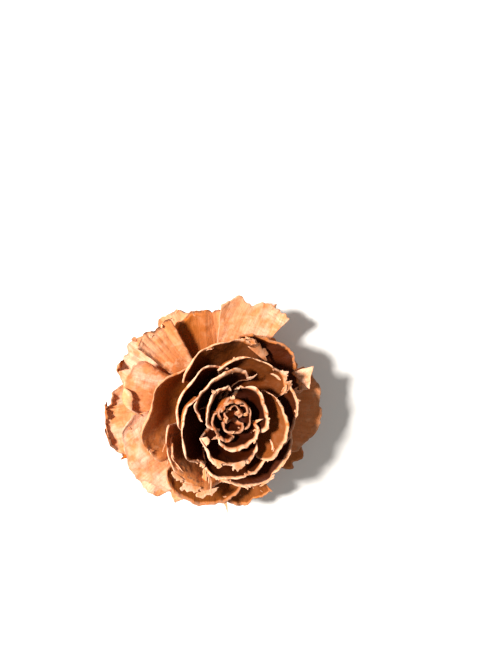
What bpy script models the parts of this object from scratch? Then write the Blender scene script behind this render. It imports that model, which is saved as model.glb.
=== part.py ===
# Cedar rose: the crown of a deodar cone, which falls from the tree in one piece and looks like a wooden rose.
# Forty-one fan-shaped scales grow in one spiral from a short woody axis that was snapped off below them.
# The rose stands on the broken end of its axis: +Z up, origin in the middle of that end.
# Scales are numbered up the spiral, from the lowest, 0, to the one beside the tip, 40.
import math

import bmesh
import bpy
import numpy as np
from mathutils import Vector

MM = 0.001

# The spiral that the scales grow in
SCALE_COUNT = 41
FIRST_AZIMUTH = math.radians(85.5)
GOLDEN_ANGLE = math.radians(137.508)

# Stations up the spiral, by scale number, and the sizes there in mm and degrees
STATIONS = (0, 4, 9, 14, 17, 19, 21, 24, 27, 29, 31, 33, 36, 40)
RIM_RADIUS = (28.5, 31.0, 32.5, 31.0, 27.5, 24.0, 21.3, 18.0, 15.0, 12.3, 9.2, 7.6, 4.9, 2.2)
RIM_HEIGHT = (1.0, 3.8, 10.5, 15.0, 19.0, 23.0, 25.6, 28.4, 30.0, 30.8, 31.0, 31.0, 30.4, 29.4)
ROOT_HEIGHT = (3.0, 4.8, 7.0, 9.0, 10.4, 11.2, 12.2, 14.0, 15.8, 17.0, 18.4, 19.6, 21.6, 24.2)
HALF_WIDTH = (10.5, 11.5, 12.0, 13.0, 14.0, 15.5, 14.2, 13.2, 11.6, 11.6, 9.4, 7.6, 5.2, 2.6)
ROOT_PITCH = (10.0, 10.0, 12.0, 12.0, 10.0, 8.0, 8.0, 10.0, 16.0, 22.0, 30.0, 38.0, 50.0, 65.0)
RIM_PITCH = (-16.0, -10.0, 6.0, 20.0, 38.0, 52.0, 62.0, 76.0, 86.0, 96.0, 100.0, 103.0, 106.0, 110.0)
WRAP = (0.5, 0.5, 0.55, 0.7, 0.9, 1.0, 1.0, 1.0, 1.0, 1.0, 1.0, 1.0, 1.0, 1.0)

# Where single scales grew unevenly: degrees along the spiral, mm of reach, mm of half width,
# mm by which the edge further along the spiral stands out beyond the other one, how straight the rim runs
# between square shoulders (0 to 1), and the share of the length by which the rim slants
TURNED = {
    0: 29, 3: 11, 6: 2, 7: -1, 8: -7, 9: -10, 11: 8, 12: -6, 13: -4, 14: 4, 15: 8, 16: 7, 17: -5, 18: 1,
    20: -8, 21: 5, 22: 4, 23: -4, 28: 14, 29: 11, 30: 14, 31: -8, 32: -6, 33: -14,
}
LONGER = {
    0: 0.4, 3: -0.8, 5: -3.5, 6: 1.3, 7: 3.0, 8: -4.5, 9: -0.3, 10: -4.5, 11: -4.0, 12: 0.3, 13: 1.8,
    15: 2.5, 16: 0.8, 17: 1.2, 18: -0.2, 19: -1.0, 20: 0.6, 21: -0.9, 22: 1.0, 23: 0.4, 24: -2.2,
    25: 0.9, 26: 1.0, 28: 1.8, 29: -1.0, 30: 1.5, 31: -0.5, 32: -1.2, 34: -2.3,
}
WIDER = {0: -4.5, 3: -1.8, 7: -6.0, 8: -3.0, 9: -2.0, 11: -4.2, 12: -4.5, 13: -2.0, 16: -7.4, 17: -1.5, 29: 0.6}
TUCKED = {19: 3.2, 21: -1.3, 22: 1.0, 23: -1.5, 24: 1.0, 26: -1.3, 27: 1.9, 28: -2.5, 29: -1.5, 32: -1.0}
SQUARER = {3: 0.3, 7: 0.2, 8: 0.5, 9: 0.3, 11: 0.4, 12: 0.8, 13: 0.7, 15: 0.2, 16: 1.0, 17: 0.2, 18: 0.2}
SLANTED = {12: 0.06, 13: -0.063, 16: 0.05}

# One scale
ROOT_RADIUS = 1.2
ROOT_HALF_WIDTH = 1.9
ROOT_THICKNESS = 1.7
RIM_THICKNESS = 0.85
SHOULDER_DROP = 0.24
SQUARE_SIDE = 0.5
CLAW_TAPER = 1.25
WING_HOLLOW_DEPTH = 0.55
EDGE_RAISE = 0.9
RIM_RAGGEDNESS = 0.025
ROLL_JITTER = 0.5
PITCH_JITTER = math.radians(7.0)
LAST_JITTERED = 17
BEZIER_REACH = 0.38
PROFILE_STEPS = 60
THINNING = 0.7
RIM_WAVES = (1, 2, 3)

# Faces across and along a large scale and one of the small ones near the tip
LARGE_GRID = (8, 5)
SMALL_GRID = (6, 4)
FIRST_SMALL = 31

# The woody axis, as height and radius of its outline from the broken end up
AXIS_OUTLINE = ((0.0, 3.9), (1.2, 4.5), (4.0, 4.7), (10.0, 4.5), (18.0, 3.5), (23.0, 2.4), (26.0, 1.3))
AXIS_SIDES = 14

WOOD_COLOR = (0.42, 0.17, 0.06, 1.0)
WOOD_ROUGHNESS = 0.55
CREASE_ANGLE = math.radians(50.0)

# What a repeatable uneven number between -1 and 1 is made from, and which use of it is which
WOBBLE_STEP = 12.9898
WOBBLE_USE_STEP = 78.233
WOBBLE_GAIN = 43758.5453
ROLL_USE = 1
PITCH_USE = 3
WAVE_START_USE = 9
WAVE_START_REACH = 3.0


def at_station(number, values):
    """The size that a row of station values gives at one scale."""
    return float(np.interp(number, STATIONS, values))


def half_width(number):
    """Half the width of a scale along its rim, in mm."""
    return at_station(number, HALF_WIDTH) + WIDER.get(number, 0.0)


def wobble(number, use):
    """A fixed uneven number from -1 to 1 for one scale and one use of it."""
    return 2.0 * ((math.sin(number * WOBBLE_STEP + use * WOBBLE_USE_STEP) * WOBBLE_GAIN) % 1.0) - 1.0


def growth_line(number):
    """A scale's middle line from the axis to the rim, evenly spaced: radius, height and slope."""
    root = np.array((ROOT_RADIUS, at_station(number, ROOT_HEIGHT)))
    rim_radius = at_station(number, RIM_RADIUS) + LONGER.get(number, 0.0)
    rim = np.array((rim_radius, at_station(number, RIM_HEIGHT)))
    reach = BEZIER_REACH * np.linalg.norm(rim - root)
    root_pitch, rim_pitch = (math.radians(at_station(number, row)) for row in (ROOT_PITCH, RIM_PITCH))
    if number <= LAST_JITTERED:
        rim_pitch += PITCH_JITTER * wobble(number, PITCH_USE)
    leave = root + reach * np.array((math.cos(root_pitch), math.sin(root_pitch)))
    arrive = rim - reach * np.array((math.cos(rim_pitch), math.sin(rim_pitch)))
    t = np.linspace(0.0, 1.0, PROFILE_STEPS)[:, None]
    line = (1 - t) ** 3 * root + 3 * t * (1 - t) ** 2 * leave + 3 * t * t * (1 - t) * arrive + t**3 * rim
    steps = np.diff(line, axis=0)
    along = np.concatenate(([0.0], np.cumsum(np.linalg.norm(steps, axis=1))))
    slope = np.arctan2(np.gradient(line[:, 1]), np.gradient(line[:, 0]))
    return along / along[-1], line[:, 0], line[:, 1], slope


def fan_outline(number, across):
    """Where the rounded rim of a scale lies: half width in mm, and share of the length, for across in -1..1."""
    turn = across * math.pi / 2
    square = SQUARER.get(number, 0.0)
    side = half_width(number) * (math.sin(turn) + SQUARE_SIDE * square * (across - math.sin(turn)))
    ragged = 0.0
    for wave in RIM_WAVES:
        start = WAVE_START_REACH * wobble(number, wave + WAVE_START_USE)
        ragged += wobble(number, wave) * math.sin(wave * math.pi * across + start)
    drop = SHOULDER_DROP * (1.0 - square) * (1.0 - math.cos(turn))
    return side, 1.0 - drop + SLANTED.get(number, 0.0) * across + RIM_RAGGEDNESS * ragged


def scale_point(number, line, across, along):
    """A point in the middle of a scale's thickness, and the direction through it, in mm."""
    rim_side, rim_share = fan_outline(number, across)
    spread = along**CLAW_TAPER
    side = (1.0 - spread) * ROOT_HALF_WIDTH * across + spread * rim_side
    share = along * rim_share
    stations, radii, heights, slopes = line
    radius, height, slope = (float(np.interp(share, stations, row)) for row in (radii, heights, slopes))
    bend = at_station(number, WRAP) / max(radius, ROOT_RADIUS)
    turn = bend * side
    edge = side / half_width(number)
    hollow = WING_HOLLOW_DEPTH * math.sin(math.pi * min(1.0, abs(edge))) ** 2 * spread
    raised = EDGE_RAISE * edge**2 * spread
    rolled = (ROLL_JITTER * wobble(number, ROLL_USE) - TUCKED.get(number, 0.0)) * edge * spread
    azimuth = FIRST_AZIMUTH + GOLDEN_ANGLE * number + math.radians(TURNED.get(number, 0.0))
    outward = Vector((math.cos(azimuth), math.sin(azimuth), 0.0))
    sideways = Vector((-math.sin(azimuth), math.cos(azimuth), 0.0))
    facing = math.cos(turn) * outward + math.sin(turn) * sideways
    through = -math.sin(slope) * facing + math.cos(slope) * Vector((0.0, 0.0, 1.0))
    middle = outward * (radius - (1.0 - math.cos(turn)) / bend) + sideways * (math.sin(turn) / bend)
    middle += Vector((0.0, 0.0, height)) + through * (raised + rolled - hollow)
    return middle, through


def make_scale(number, collection):
    """One closed, thin, fan-shaped scale with its root inside the axis."""
    columns, rows = LARGE_GRID if number < FIRST_SMALL else SMALL_GRID
    line = growth_line(number)
    mesh = bmesh.new()
    inner, outer = [], []
    for row in range(rows + 1):
        along = row / rows
        half = (ROOT_THICKNESS + (RIM_THICKNESS - ROOT_THICKNESS) * along**THINNING) / 2
        pairs = [
            scale_point(number, line, 2.0 * column / columns - 1.0, along) for column in range(columns + 1)
        ]
        inner.append([mesh.verts.new((middle + through * half) * MM) for middle, through in pairs])
        outer.append([mesh.verts.new((middle - through * half) * MM) for middle, through in pairs])
    for row in range(rows):
        for column in range(columns):
            a, b = (row, column), (row, column + 1)
            c, d = (row + 1, column + 1), (row + 1, column)
            for first, second, third in ((a, b, c), (a, c, d)):
                corners = [inner[i][j] for i, j in (first, second, third)]
                backs = [outer[i][j] for i, j in (first, third, second)]
                mesh.faces.new(corners)
                mesh.faces.new(backs)
    ring = [(0, j) for j in range(columns)] + [(i, columns) for i in range(rows)]
    ring += [(rows, j) for j in range(columns, 0, -1)] + [(i, 0) for i in range(rows, 0, -1)]
    for (i, j), (m, n) in zip(ring, ring[1:] + ring[:1]):
        mesh.faces.new((inner[i][j], outer[i][j], outer[m][n]))
        mesh.faces.new((inner[i][j], outer[m][n], inner[m][n]))
    bmesh.ops.recalc_face_normals(mesh, faces=mesh.faces)
    return to_object(mesh, f"scale_{number:02d}", collection)


def make_axis(collection):
    """The woody axis, turned from its outline, with a flat broken end at the bottom."""
    mesh = bmesh.new()
    rings = []
    for height, radius in AXIS_OUTLINE:
        turns = [2.0 * math.pi * side / AXIS_SIDES for side in range(AXIS_SIDES)]
        rings.append(
            [mesh.verts.new(Vector((radius * math.cos(t), radius * math.sin(t), height)) * MM) for t in turns]
        )
    for lower, upper in zip(rings, rings[1:]):
        for side in range(AXIS_SIDES):
            after = (side + 1) % AXIS_SIDES
            mesh.faces.new((lower[side], lower[after], upper[after], upper[side]))
    mesh.faces.new(rings[0][::-1])
    mesh.faces.new(rings[-1])
    return to_object(mesh, "cedar_rose", collection)


def to_object(mesh, name, collection):
    """Turns a bmesh into a named object in a collection."""
    data = bpy.data.meshes.new(name)
    mesh.to_mesh(data)
    mesh.free()
    made = bpy.data.objects.new(name, data)
    collection.objects.link(made)
    return made


def fuse(body, repeats):
    """Joins a collection of overlapping solids to body as one solid, and removes them."""
    union = body.modifiers.new("grown_together", "BOOLEAN")
    union.operation = "UNION"
    union.operand_type = "COLLECTION"
    union.collection = repeats
    union.solver = "MANIFOLD"
    graph = bpy.context.evaluated_depsgraph_get()
    fused = bpy.data.meshes.new_from_object(body.evaluated_get(graph))
    body.modifiers.clear()
    body.data = fused
    for loose in list(repeats.objects):
        bpy.data.objects.remove(loose)
    bpy.data.collections.remove(repeats)


def keep_largest(body):
    """Fills sealed hollows and drops loose scraps, so that one closed skin is left."""
    mesh = bmesh.new()
    mesh.from_mesh(body.data)
    left, largest = set(mesh.faces), []
    while left:
        skin, waiting = [], [left.pop()]
        while waiting:
            face = waiting.pop()
            skin.append(face)
            near = {other for edge in face.edges for other in edge.link_faces} & left
            left -= near
            waiting.extend(near)
        largest = max(largest, skin, key=len)
    kept = set(largest)
    bmesh.ops.delete(mesh, geom=[face for face in mesh.faces if face not in kept], context="FACES")
    mesh.to_mesh(body.data)
    mesh.free()


def wood_material():
    """Dry reddish-brown cone wood."""
    made = bpy.data.materials.new("cone_wood")
    made.use_nodes = True
    shader = made.node_tree.nodes["Principled BSDF"]
    shader.inputs["Base Color"].default_value = WOOD_COLOR
    shader.inputs["Roughness"].default_value = WOOD_ROUGHNESS
    shader.inputs["Metallic"].default_value = 0.0
    return made


def main():
    for old in list(bpy.data.objects):
        bpy.data.objects.remove(old)
    scene = bpy.context.scene.collection
    repeats = bpy.data.collections.new("scales")
    scene.children.link(repeats)
    rose = make_axis(scene)
    for number in range(SCALE_COUNT):
        make_scale(number, repeats)
    bpy.context.view_layer.update()
    fuse(rose, repeats)
    keep_largest(rose)
    rose.data.materials.clear()
    rose.data.materials.append(wood_material())
    rose.data.shade_smooth()
    rose.data.set_sharp_from_angle(angle=CREASE_ANGLE)


main()
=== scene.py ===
"""Dresses the cedar rose: fine woody scales with grain, worn rims and torn skin, on a pale floor in soft light."""

import logging
import math
from collections.abc import Callable
from dataclasses import dataclass, field
from enum import Enum, IntEnum

import bpy
import numpy as np
from mathutils import Matrix, Vector


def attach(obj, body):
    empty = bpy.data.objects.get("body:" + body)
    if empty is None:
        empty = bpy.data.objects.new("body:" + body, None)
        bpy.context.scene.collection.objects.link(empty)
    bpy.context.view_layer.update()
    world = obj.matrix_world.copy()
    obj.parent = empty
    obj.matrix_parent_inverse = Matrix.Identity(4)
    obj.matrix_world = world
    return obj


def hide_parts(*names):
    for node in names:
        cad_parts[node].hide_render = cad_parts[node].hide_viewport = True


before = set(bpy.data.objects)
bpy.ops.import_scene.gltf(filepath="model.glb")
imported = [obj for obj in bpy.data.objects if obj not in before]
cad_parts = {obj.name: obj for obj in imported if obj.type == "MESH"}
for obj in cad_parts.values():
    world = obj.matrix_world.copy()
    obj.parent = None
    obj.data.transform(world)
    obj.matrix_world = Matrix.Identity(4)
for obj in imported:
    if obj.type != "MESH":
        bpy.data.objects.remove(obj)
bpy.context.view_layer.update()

log = logging.getLogger("cedar_rose")

MM = 0.001
NODE = "cedar_rose"
BODY = "root"
MARKS = ("run", "from_rim", "facing", "tone", "bleach_and_light", "char", "shade", "lip", "rim")
PLAIN_MARKS = {"tone": 0.0, "bleach_and_light": 0.0, "char": 0.0, "shade": 0.0, "lip": 1.0, "rim": 0.0}
WOBBLE_STEPS = (12.9898, 78.233)
WOBBLE_GAIN = 43758.5453
UV_MM = 10.0
UV_STEPS = (5.0, 3.0)
Array = np.ndarray
Thing = bpy.types.Object
Socket = bpy.types.NodeSocket
Color = tuple[float, float, float, float]
Span = tuple[float, float]
Row = tuple[float, ...]
Table = dict[int, float]


class Edge(Enum):
    """Which margin of a scale a feature belongs to. Behind is clockwise from above, ahead is counterclockwise."""

    BEHIND = -1.0
    AHEAD = 1.0
    TOP = 0.0


class Face(Enum):
    """The face of a scale that a feature turns towards."""

    INNER = 1.0
    OUTER = -1.0


class Seed(IntEnum):
    """Where each use of seeded noise counts from."""

    SWELL = 0
    SKIN = 100
    FRAY = 200
    THINNING = 300
    RUFFLE = 400
    SLIVER_TIP = 500
    AXIS_RIBS = 501
    AXIS_BREAK = 502
    NICKS = 900
    SLIVER = 2000


class Use(IntEnum):
    """What a scale's fixed uneven number is for."""

    ROLL = 1
    PITCH = 3
    WAVE_START = 9
    TONE = 30


def by_scale(values: dict) -> object:
    """A dataclass field that holds something for each of some scales, under the scale's number."""
    return field(default_factory=lambda: values)


def s_curve(share: Array) -> Array:
    """Turns a share from 0 to 1 into one that starts and ends level."""
    return share * share * (3.0 - 2.0 * share)


def smooth(value: Array, low: float, high: float) -> Array:
    """Eases from 0 at low to 1 at high.

    Args:
        value: What is eased.
        low: Where the result is 0.
        high: Where the result is 1.

    Returns:
        The eased share.
    """
    return s_curve(np.clip((value - low) / (high - low), 0.0, 1.0))


def between(first: Array, second: Array, angle: Array) -> Array:
    """The directions turned by an angle from the first towards the second."""
    return np.cos(angle)[:, None] * first + np.sin(angle)[:, None] * second


@dataclass(frozen=True)
class Unevenness:
    """Smooth seeded noise over a sheet, from about -1 to 1."""

    seed: int
    cells: int = 64
    layer_seeds: int = 1000
    layer_shift: Span = (7.3, 3.1)
    weakening: float = 1.8

    def layer(self, x: Array, y: Array, turn: int) -> Array:
        """One layer of the noise.

        Args:
            x: First coordinate, in cells.
            y: Second coordinate, in cells.
            turn: Which layer this is.

        Returns:
            Values from -1 to 1.
        """
        dice = np.random.default_rng(self.layer_seeds * self.seed + turn)
        table = dice.uniform(-1.0, 1.0, (self.cells, self.cells))
        left, low = np.floor(x).astype(int), np.floor(y).astype(int)
        u, v = s_curve(x - left), s_curve(y - low)
        here = [table[(left + i) % self.cells, (low + j) % self.cells] for j in (0, 1) for i in (0, 1)]
        return (here[0] * (1 - u) + here[1] * u) * (1 - v) + (here[2] * (1 - u) + here[3] * u) * v

    def at(self, x: Array, y: Array, size: float, layers: int = 3) -> Array:
        """Noise whose coarsest lumps are about one size across.

        Args:
            x: First coordinate, in mm.
            y: Second coordinate, in mm.
            size: Size of the coarsest lumps, in mm.
            layers: How many ever finer layers are summed.

        Returns:
            Values from about -1 to 1.
        """
        total = np.zeros_like(np.asarray(x, dtype=float))
        for turn in range(layers):
            fine = 2.0**turn / size
            shift = (self.layer_shift[0] * turn, self.layer_shift[1] * turn)
            total = total + self.layer(x * fine + shift[0], y * fine + shift[1], turn) / self.weakening**turn
        return total


@dataclass(frozen=True)
class GrowthRule:
    """How the scales grow out of the axis: the spiral and the sizes of the solid, in mm and degrees."""

    first_azimuth: float = 85.5
    golden_angle: float = 137.508
    stations: Row = (0, 4, 9, 14, 17, 19, 21, 24, 27, 29, 31, 33, 36, 40)
    rim_radius: Row = (28.5, 31.0, 32.5, 31.0, 27.5, 24.0, 21.3, 18.0, 15.0, 12.3, 9.2, 7.6, 4.9, 2.2)
    rim_height: Row = (1.0, 3.8, 10.5, 15.0, 19.0, 23.0, 25.6, 28.4, 30.0, 30.8, 31.0, 31.0, 30.4, 29.4)
    root_height: Row = (3.0, 4.8, 7.0, 9.0, 10.4, 11.2, 12.2, 14.0, 15.8, 17.0, 18.4, 19.6, 21.6, 24.2)
    half_widths: Row = (10.5, 11.5, 12.0, 13.0, 14.0, 15.5, 14.2, 13.2, 11.6, 11.6, 9.4, 7.6, 5.2, 2.6)
    root_pitch: Row = (10, 10, 12, 12, 10, 8, 8, 10, 16, 22, 30, 38, 50, 65)
    rim_pitch: Row = (-16, -10, 6, 20, 38, 52, 62, 76, 86, 96, 100, 103, 106, 110)
    wraps: Row = (0.5, 0.5, 0.55, 0.7, 0.9, 1.0, 1.0, 1.0, 1.0, 1.0, 1.0, 1.0, 1.0, 1.0)
    turned: Table = by_scale({
        0: 29, 3: 11, 6: 2, 7: -1, 8: -7, 9: -10, 11: 8, 12: -6, 13: -4, 14: 4, 15: 8, 16: 7, 17: -5,
        18: 1, 20: -8, 21: 5, 22: 4, 23: -4, 28: 14, 29: 11, 30: 14, 31: -8, 32: -6, 33: -14,
    })
    longer: Table = by_scale({
        0: 0.4, 3: -0.8, 5: -3.5, 6: 1.3, 7: 3.0, 8: -4.5, 9: -0.3, 10: -4.5, 11: -4.0, 12: 0.3,
        13: 1.8, 15: 2.5, 16: 0.8, 17: 1.2, 18: -0.2, 19: -1.0, 20: 0.6, 21: -0.9, 22: 1.0, 23: 0.4,
        24: -2.2, 25: 0.9, 26: 1.0, 28: 1.8, 29: -1.0, 30: 1.5, 31: -0.5, 32: -1.2, 34: -2.3,
    })
    wider: Table = by_scale({
        0: -4.5, 3: -1.8, 7: -6.0, 8: -3.0, 9: -2.0, 11: -4.2, 12: -4.5, 13: -2.0, 16: -7.4, 17: -1.5, 29: 0.6,
    })
    tucked: Table = by_scale({
        19: 3.2, 21: -1.3, 22: 1.0, 23: -1.5, 24: 1.0, 26: -1.3, 27: 1.9, 28: -2.5, 29: -1.5, 32: -1.0,
    })
    squarer: Table = by_scale({
        3: 0.3, 7: 0.2, 8: 0.5, 9: 0.3, 11: 0.4, 12: 0.8, 13: 0.7, 15: 0.2, 16: 1.0, 17: 0.2, 18: 0.2,
    })
    slanted: Table = by_scale({12: 0.06, 13: -0.063, 16: 0.05})
    root_radius: float = 1.2
    root_half_width: float = 1.9
    root_thickness: float = 1.7
    rim_thickness: float = 0.52
    thinning: float = 0.7
    shoulder_drop: float = 0.24
    square_side: float = 0.5
    claw_taper: float = 1.25
    wing_hollow_depth: float = 0.55
    edge_raise: float = 0.9
    rim_raggedness: float = 0.025
    rim_waves: tuple[int, ...] = (1, 2, 3)
    wave_shift: float = 3.0
    roll_jitter: float = 0.5
    pitch_jitter: float = 7.0
    last_jittered: int = 17
    bezier_reach: float = 0.38
    profile_steps: int = 60

    def at(self, number: int, row: Row) -> float:
        """The size that a row of station values gives at one scale."""
        return float(np.interp(number, self.stations, row))

    def half_width(self, number: int) -> float:
        """Half the width of a scale along its rim, in mm."""
        return self.at(number, self.half_widths) + self.wider.get(number, 0.0)

    def azimuth(self, number: int) -> float:
        """The direction that a scale grows in, in radians."""
        return math.radians(self.first_azimuth + self.golden_angle * number + self.turned.get(number, 0.0))

    @staticmethod
    def wobble(number: int, use: int) -> float:
        """A fixed uneven number from -1 to 1 for one scale and one use of it."""
        phase = number * WOBBLE_STEPS[0] + use * WOBBLE_STEPS[1]
        return 2.0 * ((math.sin(phase) * WOBBLE_GAIN) % 1.0) - 1.0

    def line(self, number: int) -> tuple[Array, Array, Array, Array, float]:
        """A scale's middle line from the axis to the rim.

        Args:
            number: The scale's number up the spiral.

        Returns:
            Shares of the length, radii, heights and slopes there, and the whole length in mm.
        """
        root = np.array((self.root_radius, self.at(number, self.root_height)))
        rim_radius = self.at(number, self.rim_radius) + self.longer.get(number, 0.0)
        rim = np.array((rim_radius, self.at(number, self.rim_height)))
        reach = self.bezier_reach * np.linalg.norm(rim - root)
        leave_at = math.radians(self.at(number, self.root_pitch))
        arrive_at = math.radians(self.at(number, self.rim_pitch))
        if number <= self.last_jittered:
            arrive_at += math.radians(self.pitch_jitter) * self.wobble(number, Use.PITCH)
        leave = root + reach * np.array((math.cos(leave_at), math.sin(leave_at)))
        arrive = rim - reach * np.array((math.cos(arrive_at), math.sin(arrive_at)))
        t = np.linspace(0.0, 1.0, self.profile_steps)[:, None]
        path = (1 - t) ** 3 * root + 3 * t * (1 - t) ** 2 * leave + 3 * t * t * (1 - t) * arrive + t**3 * rim
        along = np.concatenate(([0.0], np.cumsum(np.linalg.norm(np.diff(path, axis=0), axis=1))))
        slope = np.arctan2(np.gradient(path[:, 1]), np.gradient(path[:, 0]))
        return along / along[-1], path[:, 0], path[:, 1], slope, float(along[-1])

    def rim_side(self, number: int, across: Array) -> Array:
        """How far to the side the rim lies, in mm, for across in -1..1."""
        rounded = np.sin(across * math.pi / 2)
        square = self.square_side * self.squarer.get(number, 0.0)
        return self.half_width(number) * (rounded + square * (across - rounded))

    def rim_share(self, number: int, across: Array) -> Array:
        """How far along the length the rim lies, for across in -1..1."""
        ragged = np.zeros_like(across)
        for wave in self.rim_waves:
            start = self.wave_shift * self.wobble(number, wave + Use.WAVE_START)
            ragged += self.wobble(number, wave) * np.sin(wave * math.pi * across + start)
        drop = self.shoulder_drop * (1.0 - self.squarer.get(number, 0.0)) * (1.0 - np.cos(across * math.pi / 2))
        return 1.0 - drop + self.slanted.get(number, 0.0) * across + self.rim_raggedness * ragged


@dataclass(frozen=True)
class Notch:
    """A bite out of a rim: its place across, its depth and its half width in mm."""

    across: float
    depth: float
    reach: float


@dataclass(frozen=True)
class Curl:
    """A margin that bends over: from which share outwards, its radius in mm, and between which places."""

    start: float
    radius: float
    low: float = -2.0
    high: float = 2.0
    easing: float = 0.15
    edge: Edge = Edge.TOP
    face: Face = Face.OUTER


@dataclass
class ScaleSheet:
    """Where every point of one scale's middle surface lies, with the directions there, in mm."""

    side: Array
    run: Array
    place: Array
    through: Array
    sideways: Array
    growing: Array
    half: Array
    from_rim: Array


@dataclass
class Scale:
    """One fan-shaped woody scale: thick at its root, thin and worn at its rim."""

    rule: GrowthRule
    wear_and_light: "WearAndPaintedLight"
    number: int
    columns: int = 36
    rows: int = 22
    notches: tuple[Notch, ...] = ()
    curls: tuple[Curl, ...] = ()
    rows_to_rim: float = 1.25
    nick_count: int = 9
    nick_depth: float = 1.0
    nick_across: Span = (-0.95, 0.95)
    nick_bites: Span = (-0.45, 1.0)
    nick_reaches: Span = (0.5, 1.6)
    ruffle: float = 0.32
    ruffle_size: float = 3.4
    ruffle_stretch: float = 0.35
    ruffle_start: float = 0.6
    swell: float = 0.42
    swell_size: float = 7.0
    thin_patches: float = 0.62
    thin_size: float = 3.2
    thin_stretch: float = 0.3
    thin_start: float = 0.75
    thin_range: Span = (-1.0, 0.8)
    bare_side: float = 0.2
    farthest_roll: float = 2.6
    crumple: float = 0.10
    crumple_size: float = 1.7
    fray: float = 0.5
    fray_size: float = 1.9
    fray_stretch: float = 0.12
    fray_reach: float = 2.2

    def nicks(self) -> list[Notch]:
        """Small bites and spurs along the rim, different on each scale."""
        dice = np.random.default_rng(Seed.NICKS + self.number)
        return [
            Notch(
                dice.uniform(*self.nick_across),
                dice.uniform(*self.nick_bites) * self.nick_depth,
                dice.uniform(*self.nick_reaches),
            )
            for _ in range(self.nick_count)
        ]

    def uneven(self, seed: Seed, side: Array, run: Array, size: float, layers: int = 2) -> Array:
        """This scale's own noise for one use, at fan coordinates in mm."""
        return Unevenness(self.number + seed).at(side, run, size, layers)

    def sheet(self, across: Array, along: Array) -> ScaleSheet:
        """Grows the middle surface of the scale.

        Args:
            across: Places across the scale, from -1 to 1.
            along: Places along the scale, 0 at the axis and 1 at the rim.

        Returns:
            The surface at those places.
        """
        rule, number = self.rule, self.number
        stations, radii, heights, slopes, length = rule.line(number)
        half_width = rule.half_width(number)
        spread = along**rule.claw_taper
        rim_side = rule.rim_side(number, across)
        side = (1.0 - spread) * rule.root_half_width * across + spread * rim_side
        rim_share = rule.rim_share(number, across)
        for notch in (*self.nicks(), *self.notches):
            near = np.clip(1.0 - np.abs(rim_side - notch.across * half_width) / notch.reach, 0.0, 1.0)
            rim_share = rim_share - notch.depth / length * near
        share = along * rim_share
        run = share * length
        radius, height, slope = (np.interp(share, stations, row) for row in (radii, heights, slopes))
        bend = rule.at(number, rule.wraps) / np.maximum(radius, rule.root_radius)
        turn = bend * side

        edge = side / half_width
        hollow = rule.wing_hollow_depth * np.sin(math.pi * np.minimum(1.0, np.abs(edge))) ** 2 * spread
        raised = rule.edge_raise * edge**2 * spread
        roll = rule.roll_jitter * rule.wobble(number, Use.ROLL) - rule.tucked.get(number, 0.0)
        lift = raised + roll * edge * spread - hollow
        lift = lift + self.swell * self.uneven(Seed.SWELL, side, run, self.swell_size) * spread
        waves = self.uneven(Seed.RUFFLE, side, run * self.ruffle_stretch, self.ruffle_size)
        lift = lift + self.ruffle * waves * smooth(along, self.ruffle_start, 1.0)

        azimuth = rule.azimuth(number)
        outward = np.array((math.cos(azimuth), math.sin(azimuth), 0.0))
        beside = np.array((-math.sin(azimuth), math.cos(azimuth), 0.0))
        up = np.array((0.0, 0.0, 1.0))
        facing, sideways = between(outward, beside, turn), between(beside, -outward, turn)
        through, growing = between(up, -facing, slope), between(facing, up, slope)
        place = (radius - (1.0 - np.cos(turn)) / bend)[:, None] * outward + (np.sin(turn) / bend)[:, None] * beside
        place = place + height[:, None] * up + through * lift[:, None]

        thick = rule.root_thickness + (rule.rim_thickness - rule.root_thickness) * along**rule.thinning
        patchy = self.uneven(Seed.THINNING, side, run * self.thin_stretch, self.thin_size)
        patchy = np.clip(patchy, *self.thin_range) * smooth(along, self.thin_start, 1.0)
        thick = thick * (1.0 + self.thin_patches * patchy)
        from_side = (1.0 - np.abs(across)) * half_width * spread + self.bare_side
        from_rim = np.minimum((1.0 - along) * length, from_side)
        made = ScaleSheet(side, run, place, through, sideways, growing, thick / 2, from_rim)
        for curl in self.curls:
            self.bend(made, curl, across, along, length)
        return made

    def bend(self, made: ScaleSheet, curl: Curl, across: Array, along: Array, length: float) -> None:
        """Rolls one margin of the surface over, in place.

        Args:
            made: The surface.
            curl: The bend.
            across: Places across the scale, from -1 to 1.
            along: Places along the scale, from 0 to 1.
            length: The scale's length in mm.
        """
        if curl.edge is Edge.TOP:
            beyond = np.maximum(along - curl.start, 0.0) * length
            other, way = across, made.growing
        else:
            beyond = np.maximum(across * curl.edge.value - curl.start, 0.0) * self.rule.half_width(self.number)
            other, way = along, made.sideways * curl.edge.value
        fade = smooth(other, curl.low, curl.low + curl.easing)
        fade = fade * (1.0 - smooth(other, curl.high - curl.easing, curl.high))
        turned = np.minimum(beyond / curl.radius * fade, self.farthest_roll)
        shift = way * (curl.radius * np.sin(turned) - beyond * fade)[:, None]
        lift = made.through * (curl.face.value * curl.radius * (1.0 - np.cos(turned)))[:, None]
        made.place = made.place + shift + lift
        way_now = between(way, made.through * curl.face.value, turned)
        made.through = between(made.through, -way * curl.face.value, turned)
        if curl.edge is Edge.TOP:
            made.growing = way_now
        else:
            made.sideways = way_now * curl.edge.value

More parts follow.
